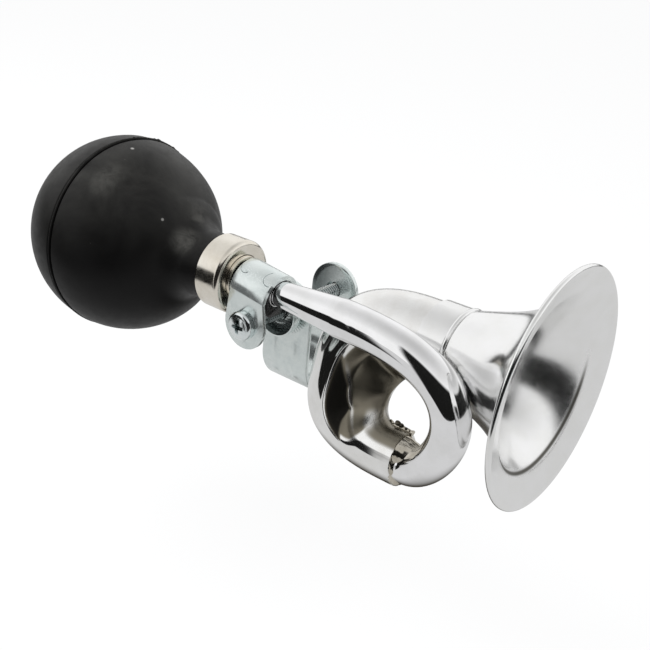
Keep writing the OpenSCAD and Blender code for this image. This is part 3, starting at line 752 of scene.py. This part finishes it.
def burrs():
    """Burnt beads of solder along the far edge of the hole beside the joint."""
    made = bmesh.new()
    for k, (x, rise, size) in enumerate(BURRS):
        at = loop_point(0, x, BURR_SIDE, 0) + AXIS + (0, 0, rise)
        grown = bmesh.ops.create_icosphere(made, subdivisions=4, radius=size * MM)["verts"]
        for v in grown:
            v.co *= 1 + 0.4 * noise.noise(v.co / MM * 0.8 + Vector((k * 7.0, 0, 0)))
            v.co.x *= 1.25
            v.co += Vector(at) * MM
    mesh = bpy.data.meshes.new("seam_burrs")
    made.to_mesh(mesh)
    made.free()
    rounded(mesh)
    return linked("seam_burrs", mesh)


place(burrs(), "horn", "grey_solder", BURNT)


def seam_bead():
    """Uneven bead of solder that raises the far edge of the hole towards the joint."""
    path = [loop_point(a, HOLE_X, BEAD_SIDE, 0) for a in np.linspace(26, 0, 14)]
    path += [loop_point(0, x, BEAD_SIDE, 0) for x in np.linspace(HOLE_X, JOINT_X + 0.5, 16)[1:]]
    lift = np.linspace(0, 1, len(path))
    path = [p + AXIS + (0, 0, 0.9 * smooth(0, 0.4, t) - 0.45) for p, t in zip(path, lift)]
    points, faces = round_wire(path, BEAD_R, 20)
    points = [p + 0.4 * noise.noise(Vector(p) * 0.9) * np.array([0.3, 0.3, 1.0]) for p in points]
    return new_object("seam_bead", points, faces, 60)


place(seam_bead(), "horn", "grey_solder", SOLDER)


# Sleeve and bell
SLEEVE_BORE, SLEEVE_R, COLLAR_R = 13.06, 13.85, 0.9
BELL_RISE, FLARE_POWER, RIM_R, BEND, FLANGE = 0.28, 4, 0.9, 1.4, (8.8, 3.0)
# The bend's darkness and the brown below the throat are painted shade; the satin share only roughens
BEND_R, BEND_DARK, BELL_SATIN, BELL_UNDER_SHADE = 27.2, 0.72, 0.25, 0.85
SLEEVE_PROFILE = (
    [(SLEEVE_X, SLEEVE_BORE), (SLEEVE_X, SLEEVE_R - 0.2), (SLEEVE_X + 0.2, SLEEVE_R)]
    + [(x, SLEEVE_R) for x in np.linspace(SLEEVE_X + 0.6, SLEEVE_END - 2.0, 6)]
    + arc(SLEEVE_END - COLLAR_R, SLEEVE_R - 0.45, COLLAR_R, -62, 90, 12)
    + [(SLEEVE_END, SLEEVE_BORE)]
)
sleeve = lathe("bell_collar", SLEEVE_PROFILE, BELL_Y, BELL_Z, 192)
place(sleeve, "horn", "bright_chrome", BRANCH, "bell_sleeve")


def bell_profile():
    """Outline of the bell: spigot, flared cone, bend, flange and rolled rim, and apart from it the inside."""
    rim_at = np.array([BELL_R - RIM_R, BELL_L])
    end = rim_at - FLANGE
    flare = end[0] - THROAT_R - BELL_RISE * end[1]

    def radius(u):
        return THROAT_R + BELL_RISE * u + flare * (u / end[1]) ** FLARE_POWER

    corner = [np.array([radius(end[1] - BEND), end[1] - BEND]), end, end + BEND * unit(rim_at - end)]
    curve = [np.array([radius(u), u]) for u in np.linspace(1.0, end[1] - BEND, 48)[:-1]]
    curve += [(1 - t) ** 2 * corner[0] + 2 * t * (1 - t) * corner[1] + t * t * corner[2]
              for t in np.linspace(0, 1, 10)]
    curve += [corner[2] + t * (rim_at - corner[2]) for t in np.linspace(0, 1, 10)[1:]]
    along = unit(np.gradient(np.array(curve), axis=0))
    outside = [(SLEEVE_END + p[1], p[0]) for p in curve]
    inside = [(SLEEVE_END + p[1] + BELL_T * d[0], p[0] - BELL_T * d[1]) for p, d in zip(curve, along)]
    roll = arc(SLEEVE_END + BELL_L, BELL_R - RIM_R, RIM_R, -75, 118, 16)
    seat, front = SEAT_X + 0.05, SLEEVE_END + 0.05
    start = [(front + 0.05, BRANCH_R - BELL_T), (seat, BRANCH_R - BELL_T), (seat, BRANCH_R),
             (front, BRANCH_R), (front, THROAT_R - 0.1), (SLEEVE_END + 0.3, THROAT_R)]
    return start + outside[:-1] + roll, inside[-2::-1]


def bell_flare():
    """The bell: bright outside with a painted brown shade below near its throat, satin inside, with a painted
    dark reflection in the flange's bend.
    """
    sides = 240
    outside, inside = bell_profile()
    shares = []
    for k, (x, r) in enumerate(outside + inside):
        for a in turns(sides):
            if k < len(outside):
                # Painted shade: brown below near the throat outside, dark in the flange's bend inside
                below = smooth(0.35, 0.95, -math.sin(a + 0.35))
                shares.append(BELL_UNDER_SHADE * below * smooth(SLEEVE_END + 26, SLEEVE_END + 8, x))
            else:
                bend = bell_curve(r - BEND_R, 0.7) * smooth(-0.35, 0.5, -math.sin(a))
                shares.append(BELL_SATIN + BEND_DARK * bend)
    return shade(lathe("bell_flare", outside + inside, BELL_Y, BELL_Z, sides, 40), shares)


place(bell_flare(), "horn", "bright_chrome", SATIN, "bell")


# Clip and liner, and helpers for what lies about the screw's axis
SADDLE_Z, SADDLE_R, SADDLE_TILT = AXIS_Z - 1.4, 8.25, math.radians(7)
EAR_INNER, EAR_R, EAR_WALL, CUP_BACK = -19.5, 8.2, 0.45, -14.6
LANCE_THIN, LANCE_THICK = 0.06, 0.13
TOOTH_N, TOOTH_MID, TOOTH_REACH, TOOTH_HALF = 18, 5.0, 1.0, 0.35
SQUARE = ((-1, -1), (1, -1), (1, 1), (-1, 1))
BOX_FACES = [(0, 1, 2, 3), (7, 6, 5, 4), (0, 4, 5, 1), (1, 5, 6, 2), (2, 6, 7, 3), (3, 7, 4, 0)]


def cut_away(obj, tool, sharp):
    """Take a tool's shape out of an object and delete the tool."""
    cut = obj.modifiers.new("cut", "BOOLEAN")
    cut.operation, cut.solver, cut.object = "DIFFERENCE", "EXACT", tool
    apply_modifiers(obj)
    bpy.data.objects.remove(tool)
    obj.data.set_sharp_from_angle(angle=math.radians(sharp))
    return obj


def about_screw(r, a, y):
    """A point at a radius and an angle about the screw's axis, and a place along it."""
    return r * math.cos(a), y, SCREW_Z + r * math.sin(a)


def bored(obj, radius, start, end):
    """The same object with a round hole along Y through the screw's axis."""
    sides = 96
    points = [about_screw(radius, t, y) for y in (start, end) for t in turns(sides)]
    tool = new_object("bore_tool", points, capped_faces(2, sides))
    return cut_away(obj, tool, 40)


def teeth(start, end):
    """Boxes of a toothed ring round the screw, from one place along Y to another."""
    shells = []
    for a in turns(TOOTH_N):
        out, side = np.array([math.cos(a), 0, math.sin(a)]), np.array([-math.sin(a), 0, math.cos(a)])
        corners = [(TOOTH_MID + u * TOOTH_REACH) * out + v * TOOTH_HALF * side + (0, y, SCREW_Z)
                   for y in (start, end) for u, v in SQUARE]
        shells.append((corners, BOX_FACES))
    return shells


clip = bored(copy_of("pipe_clip", "saddle_clip", 0.22), EAR_R - EAR_WALL, EAR_INNER - 2, EAR_INNER + 6)
place(clip, "horn", "zinc_sheet", ZINC, "pipe_clip")
place(copy_of("clip_liner", "saddle_liner", 0.25), "horn", "liner_rubber", LINER, "clip_liner")


def on_saddle(x, turn):
    """A place on the tilted top of the saddle, at an angle from its ridge."""
    r = SADDLE_R + 0.02
    y, z = r * math.sin(turn), r * math.cos(turn)
    lean = (x - z * math.sin(SADDLE_TILT)) * math.tan(SADDLE_TILT)
    return x, AXIS_Y + y, SADDLE_Z + z * math.cos(SADDLE_TILT) - lean


def lance_marks():
    """Two hooked lines lanced into the top of the saddle, from places along it and angles round it."""
    first = ((-6.0, -28), (-5.7, -36), (-4.9, -42), (-3.8, -44), (-2.9, -42), (-2.5, -38))
    second = ((4.6, -8), (3.9, -20), (3.7, -32), (4.2, -40), (5.2, -45), (6.3, -46.5), (7.1, -45))
    shells = []
    for marks in (first, second):
        marks = np.array(marks, float)
        at = np.linspace(0, len(marks) - 1, 40)
        xs, angles = (np.interp(at, range(len(marks)), marks[:, k]) for k in (0, 1))
        for values in (xs, angles):
            values[1:-1] = np.convolve(np.pad(values, 3, "edge"), np.ones(7) / 7, "valid")[1:-1]
        path = [on_saddle(x, turn) for x, turn in zip(xs, np.radians(angles))]
        shells += [round_wire(path[:22], LANCE_THIN), round_wire(path[18:], LANCE_THICK)]
    return joined("lance_marks", shells)


# The lanced lines are thin beads in painted shade
place(lance_marks(), "horn", "zinc_sheet", ZINC_SHADED)


def ear_dish():
    """The drawn middle of the far ear: a cup with pressed radial teeth on its floor."""
    sides, ridges, hole, rise, edge = 360, 30, 2.95, 0.45, EAR_R - 1.5
    lip = [(EAR_INNER - 0.05, EAR_R - 0.2), (EAR_INNER + 0.05, EAR_R - 0.5), (EAR_INNER + 0.9, EAR_R - 0.72),
           (EAR_INNER + 2.5, EAR_R - 1.0), (EAR_INNER + 3.0, EAR_R - 1.25)]
    floor = [(CUP_BACK - 1.6 - 1.9 * smooth(6.4, 3.2, r), r) for r in np.linspace(edge, hole, 14)]
    back = [(CUP_BACK - 0.1, hole), (CUP_BACK, 3.2), (CUP_BACK, 6.3), (CUP_BACK - 0.3, 7.1),
            (CUP_BACK - 1.0, 7.7), (CUP_BACK - 2.0, EAR_R - 0.15), (CUP_BACK - 4.4, EAR_R - 0.15)]
    points, shares = [], []
    for y, r in lip + floor + back:
        for a in turns(sides):
            ridge = abs(((a * ridges / (2 * math.pi)) % 1.0) - 0.5) * 2
            full = smooth(hole, 3.8, r) * smooth(edge, edge - 0.9, r) if (y, r) in floor else 0.0
            points.append(about_screw(r, a, y - rise * ridge * full))
            # Painted shade in the cup, less on the crests of its teeth as painted highlights, none on its
            # back
            shares.append(0.0 if (y, r) in back else 0.86 - full * (0.35 + 0.5 * ridge))
    return shade(new_object("ear_dish", points, grid_faces(len(lip + floor + back), sides), 25), shares)


place(ear_dish(), "horn", "zinc_sheet", ZINC)
place(joined("ear_teeth", teeth(CUP_BACK - 0.05, CUP_BACK + 0.5)), "horn", "zinc_sheet", ZINC)


SEAT_RINGS, SEAT_LEAN, SEAT_WIRE = ((6.55, 5.5), (6.95, 4.55)), 0.11, 0.16


def seat_ring(x, r):
    """A bright edge of the pipe's seat, in the mouth of the liner."""
    lean = SEAT_LEAN * r
    around = sweep(0, 360, 97)
    path = [(x + lean * math.sin(t), AXIS_Y + r * math.cos(t), AXIS_Z + r * math.sin(t)) for t in around]
    return round_wire(path, SEAT_WIRE)


place(joined("seat_rings", [seat_ring(x, r) for x, r in SEAT_RINGS]), "horn", "bright_chrome", CHROME)


# Handlebar strap, its rounded ribs and the hatching beside the cup, and the nut
STRAP_HALF, STRAP_T, STRAP_EDGE, STRAP_HOLE_R = 9.8, STRAP_R - BORE_R, 0.3, 3.2
ROLL_DROP, ROLL_W = 0.4, 2.4
RIB_X, RIB_W, RIB_SHARE, RIB_LEAST = 4.4, 1.2, 0.6, 0.5
HATCH_N, HATCH_FROM, HATCH_TO, HATCH_TWIST, HATCH_R = 44, 6.6, 8.7, 0.03, 0.09


def rib_height(x, z):
    """How far the near leg stands out in its two soft ribs, which stay upright where the leg curves away."""
    away = STRAP_R - math.sqrt(STRAP_R ** 2 - min(z, 0.0) ** 2)
    across = bell_curve(x - RIB_X, RIB_W) + bell_curve(x + RIB_X, RIB_W)
    return RIB_SHARE * (RIB_LEAST + away) * across * smooth(-7.6, -4.6, z) * smooth(9.0, 1.0, z)


def strap_path():
    """Places (y, z) along the strap's outside, with the way out at each, from the near ear to the far one."""
    ends = SCREW_Z + STRAP_HALF * np.sin(sweep(89.7, 0, 30))
    heights = np.r_[ends, np.linspace(SCREW_Z, 0, 40)[1:]]
    path = [((-STRAP_R, z), (-1.0, 0.0)) for z in heights]
    path += [((STRAP_R * math.cos(t), STRAP_R * math.sin(t)), (math.cos(t), math.sin(t)))
             for t in sweep(180, 360, 81)[1:-1]]
    return path + [((STRAP_R, z), (1.0, 0.0)) for z in heights[::-1]]


def strap_section(wide):
    """Outline (x, depth) of the sheet at a half width: flat outside, rounded edges, rolled inner edges."""
    e = min(STRAP_EDGE, wide / 2)
    flat, low = wide - e, STRAP_T - ROLL_DROP - e
    corner = sweep(0, 90, 5)
    outside = [(x, 0.0) for x in np.linspace(-flat, flat, 61)]
    edge = [(flat + e * math.sin(t), e - e * math.cos(t)) for t in corner[1:]]
    edge += [(flat + e * math.cos(t), low + e * math.sin(t)) for t in corner]
    inside = [(x, STRAP_T - ROLL_DROP * max(0.0, (abs(x) - flat + ROLL_W) / ROLL_W) ** 2)
              for x in np.linspace(flat, -flat, 61)[1:-1]]
    return outside + edge + inside + [(-x, d) for x, d in edge[::-1]]


def strap_sheet():
    """The strap as one bent sheet with rounded edges and round ends, its far ear's inner face darker towards
    the ball as a painted dark reflection.
    """
    path, points = strap_path(), []
    for (y, z), (ny, nz) in path:
        wide = math.sqrt(max(STRAP_HALF ** 2 - max(0.0, z - SCREW_Z) ** 2, 1e-3))
        for x, d in strap_section(wide):
            out = rib_height(x, z) if y < 0 and d < 0.01 else 0.0
            points.append((x, y - d * ny - out, z - d * nz))
    cols = len(points) // len(path)
    strap = new_object("bar_strap", points, capped_faces(len(path), cols), 40)
    bored(strap, STRAP_HOLE_R, -20, 20)
    # Painted dark reflection on the far leg's inner face, towards the ball
    shares = []
    for v in strap.data.vertices:
        x, y, z = v.co / MM
        inner = BORE_R - 0.1 < y < BORE_R + 0.45
        shares.append(0.8 * smooth(5, -7, x) * smooth(6, 15, z) if inner else 0.0)
    return shade(strap, shares)


place(strap_sheet(), "handlebar_clamp", "zinc_sheet", ZINC, "handlebar_strap")
place(joined("strap_teeth", teeth(-STRAP_R + 0.05, -STRAP_R - 0.5)), "handlebar_clamp", "zinc_sheet", ZINC)
place(copy_of("clamp_nut", "strap_nut", 0.25), "handlebar_clamp", "zinc_screw", SCREW, "clamp_nut")


def strap_hatch():
    """Fine scored lines on the strap round the toothed ring, drawn as thin beads in painted shade."""
    shells = []
    for a in turns(HATCH_N):
        path = [about_screw(r, a + HATCH_TWIST * (r - HATCH_FROM), -STRAP_R - 0.01)
                for r in np.linspace(HATCH_FROM, HATCH_TO, 4)]
        shells.append(round_wire(path, HATCH_R, 8))
    return joined("strap_hatch", shells)


place(strap_hatch(), "handlebar_clamp", "zinc_sheet", ZINC_SHADED)


# Screw: domed head with a cross recess, and a rolled thread
SEAT_Y, HEAD_H, HEAD_R, DOME_R, DOME_RISE = -34.5, 3.4, 4.75, 3.3, 0.75
HEAD_BACK = SEAT_Y - HEAD_H
SHOULDER, SHOULDER_H = HEAD_BACK + 0.63, 1.15
SHANK_R, SHANK_END, THREAD_FROM, THREAD_DEPTH, PITCH = 2.5, 19.1, -24.0, 0.55, 1.06
RECESS_MOUTH, RECESS_FLOOR, RECESS_DEPTH = (0.86, 3.1), (0.42, 1.5), 1.9


def dome(r):
    """Place along Y of the head's top, at a distance from its axis."""
    return HEAD_BACK + DOME_RISE * (r / 3.6) ** 2


def recess_bar(ends, flip):
    """A tapered bar of the cross, from ends (y, half width, half length)."""
    corners = []
    for y, wide, long in ends:
        x, z = (long, wide) if flip else (wide, long)
        corners += [(u * x, y, SCREW_Z + v * z) for u, v in SQUARE]
    return corners, BOX_FACES


def screw_head():
    """The pan head, with painted shade in its recess."""
    sides = 96
    profile = [(dome(r), r) for r in np.linspace(0.05, DOME_R, 16)]
    profile += [(SHOULDER + SHOULDER_H * (1 - math.cos(t)), DOME_R + (HEAD_R - DOME_R) * math.sin(t))
                for t in sweep(12, 90, 8)]
    profile += [(SEAT_Y - 0.25, HEAD_R), (SEAT_Y, HEAD_R - 0.25), (SEAT_Y, 2.0), (SEAT_Y - 1.2, 0.05)]
    points = [about_screw(r, a, y) for y, r in profile for a in turns(sides)]
    head = new_object("cross_screw", points, grid_faces(len(profile), sides), 40)
    ends = (HEAD_BACK - 1, *RECESS_MOUTH), (HEAD_BACK + RECESS_DEPTH, *RECESS_FLOOR)
    for flip in (False, True):
        cut_away(head, joined("recess_tool", [recess_bar(ends, flip)]), 30)
    # Painted shade inside the cross recess
    shares = []
    for v in head.data.vertices:
        r, y = math.hypot(v.co.x, v.co.z - SCREW_Z * MM) / MM, v.co.y / MM
        shares.append(0.95 if r < 3.2 and dome(r) + 0.1 < y < SEAT_Y - 1.3 else 0.0)
    return shade(head, shares)


def screw_thread():
    """The shank with its thread, with painted shade in the grooves and where the clip shades it."""
    sides, per_turn = 40, 10
    places = np.arange(SEAT_Y - 0.5, SHANK_END, PITCH / per_turn)
    points, shares = [], []
    for y in places:
        cut = smooth(THREAD_FROM - 1, THREAD_FROM, y)
        chamfer = 0.7 * smooth(SHANK_END - 0.9, SHANK_END, y)
        for j, a in enumerate(turns(sides)):
            phase = (y / PITCH + j / sides) % 1.0
            groove = smooth(0.15, 0.55, 1 - abs(2 * phase - 1))
            r = SHANK_R - THREAD_DEPTH * cut * groove - chamfer
            points.append(about_screw(r, a, y))
            # Painted shade in the thread's grooves and between the ears
            shares.append(max(cut * groove, 0.85 * smooth(-15, -18, y)))
    return shade(new_object("screw_thread", points, capped_faces(len(places), sides), 60), shares)


place(screw_head(), "screw", "zinc_screw", SCREW, "clamp_screw")
place(screw_thread(), "screw", "zinc_screw", SCREW)


def recess_floor():
    """Painted shade: a dark plate at the bottom of the cross recess."""
    top = HEAD_BACK + RECESS_DEPTH - 0.04
    half = (RECESS_FLOOR[0] + 0.01, RECESS_FLOOR[1] + 0.02)
    ends = (top, *half), (top + 0.1, *half)
    return joined("recess_floor", [recess_bar(ends, flip) for flip in (False, True)])


place(recess_floor(), "screw", "zinc_screw", ZINC_SHADED)


# Reed, which shows as its CAD nodes
for name in ("reed_plug", "reed_shallot", "reed_tongue", "reed_wedge"):
    coat(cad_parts[name], BRASS)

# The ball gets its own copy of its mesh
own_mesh(bulb)


# Floor, light and camera. Polished metal sees a studio: a pale table, a dark room beyond its edge with white
# ceiling and walls above, and the dark shape of whoever stands behind the camera
FLOOR_Z, FLOOR_HALF, LIT_PLACE = -75, 4000, Vector((0, -0.02, 0.01))
TABLE_EDGE = (-0.217, -0.203)
TABLE_MIDDLE, SHADE = (0.04, -0.03), ((0.025, 0.030), (0.085, 0.025))
GAP = radians(-119, -115, -108, -104)
DARK, MATT = (0.010, 0.010, 0.0095), (0.62, 0.62, 0.62)
CLOTH, CLOTH_SHADE = (0.66, 0.66, 0.66), (0.050, 0.043, 0.034)
HORIZON_BEHIND, HORIZON_AHEAD, HORIZON_SOFT = radians(1.5, 6, 4)
HORIZON_LEFT = radians(-114, -121)
FIGURE_LEFT, FIGURE_RIGHT = radians(-108, -103), radians(2, 26)
FIGURE_TOP, FIGURE_SLOPE, FIGURE_FROM = radians(36, 47), 0.18, math.radians(80)


def floor_material():
    """White with the part's shadow to the camera, and to polished metal a table that ends at its edge, with a
    painted shadow behind the part.
    """
    mat = bpy.data.materials.new("pale_floor")
    mat.use_nodes = True
    mat.node_tree.nodes.clear()
    n = Nodes(mat.node_tree, "Object")
    path = n.add("LightPath").outputs
    place_at = n.split(n.add("NewGeometry").outputs["Position"])
    matt = n.add("BsdfDiffuse", {"Color": colour(MATT)}).outputs[0]
    seen = n.either(0.82, matt, n.glow("Emission", (1, 1, 1), 1.08))
    x, y = (n.math("SUBTRACT", place_at[k], TABLE_MIDDLE[k]) for k in (0, 1))
    pale = n.math("MAXIMUM", n.step(place_at[1], *TABLE_EDGE), n.between(n.math("ARCTAN2", y, x), *GAP))
    # Painted shadow on the table that polished metal sees
    x, y = (n.math("SUBTRACT", place_at[k], SHADE[0][k]) for k in (0, 1))
    away = n.math("SQRT", n.math("ADD", n.times(x, x), n.times(y, y)))
    cloth = n.mix(n.step(away, *SHADE[1]), CLOTH, CLOTH_SHADE)
    table = n.glow("Emission", n.mix(pale, DARK, cloth))
    shiny = n.either(path["Is Glossy Ray"], matt, table)
    n.add("OutputMaterial", {"Surface": n.either(path["Is Camera Ray"], shiny, seen)})
    return mat


floor = new_object("floor", [(u * FLOOR_HALF, v * FLOOR_HALF, FLOOR_Z) for u, v in SQUARE], [(0, 1, 2, 3)])
coat(floor, floor_material())


def studio_world():
    """White to the camera, plain light to matt pieces, and to polished metal the room and the dark figure."""
    world = bpy.data.worlds.new("studio")
    bpy.context.scene.world = world
    world.use_nodes = True
    world.node_tree.nodes.clear()
    n = Nodes(world.node_tree, "Generated")
    path = n.add("LightPath").outputs
    x, y, z = n.split(n.where)
    rise = n.math("ARCSINE", z)
    turn = n.math("ARCTAN2", y, x)
    top = n.math("ADD", rise, n.times(n.math("ADD", turn, FIGURE_FROM), FIGURE_SLOPE))
    figure = n.times(n.between(turn, *FIGURE_LEFT, *FIGURE_RIGHT), n.step(top, *FIGURE_TOP[::-1]))
    ahead = n.times(n.step(turn, *HORIZON_LEFT), HORIZON_AHEAD - HORIZON_BEHIND)
    above = n.step(n.math("SUBTRACT", rise, ahead), HORIZON_BEHIND, HORIZON_BEHIND + HORIZON_SOFT)
    above = n.math("MAXIMUM", above, n.between(turn, *GAP))
    lit = n.times(above, n.math("SUBTRACT", 1.0, figure))
    wall = n.ramp(z, [(0.0, 0.97), (0.55, 0.97), (0.85, 0.74), (1.0, 0.56)])
    room = n.glow("Background", n.mix(lit, DARK, wall))
    plain = n.glow("Background", (0.95, 0.97, 1.0), 0.75)
    shiny = n.either(path["Is Glossy Ray"], plain, room)
    white = n.glow("Background", (1, 1, 1))
    n.add("OutputWorld", {"Surface": n.either(path["Is Camera Ray"], shiny, white)})


studio_world()


def softbox(name, place_at, size, watts):
    """A soft lamp that polished metal doesn't mirror."""
    light = bpy.data.lights.new(name, "AREA")
    light.shape = "RECTANGLE"
    light.size, light.size_y = size
    light.energy = watts
    obj = linked(name, light)
    obj.location = place_at
    obj.rotation_euler = (LIT_PLACE - Vector(place_at)).to_track_quat("-Z", "Y").to_euler()
    obj.visible_glossy = False


softbox("key_softbox", (-0.55, -0.35, 0.85), (0.7, 0.5), 7)
softbox("fill_softbox", (0.8, 0.2, 0.6), (0.5, 0.5), 2)

# Camera recovered from the photograph, its angles in degrees: round to the right, up, and rolled
EYE = (0.188763, -0.246439, 0.147195)
AZIMUTH, ELEVATION, ROLL = radians(36.513, 24.015, 5.811)
camera_data = bpy.data.cameras.new("camera")
camera_data.lens = 54.316
camera_data.sensor_width = 36.0
camera_data.sensor_fit = "HORIZONTAL"
camera_data.clip_start = 0.01
camera = linked("camera", camera_data)
aim = Matrix.Rotation(AZIMUTH, 4, "Z") @ Matrix.Rotation(math.pi / 2 - ELEVATION, 4, "X")
camera.matrix_world = Matrix.Translation(EYE) @ aim @ Matrix.Rotation(ROLL, 4, "Z")
bpy.context.scene.camera = camera
bpy.context.scene.view_settings.view_transform = "Standard"
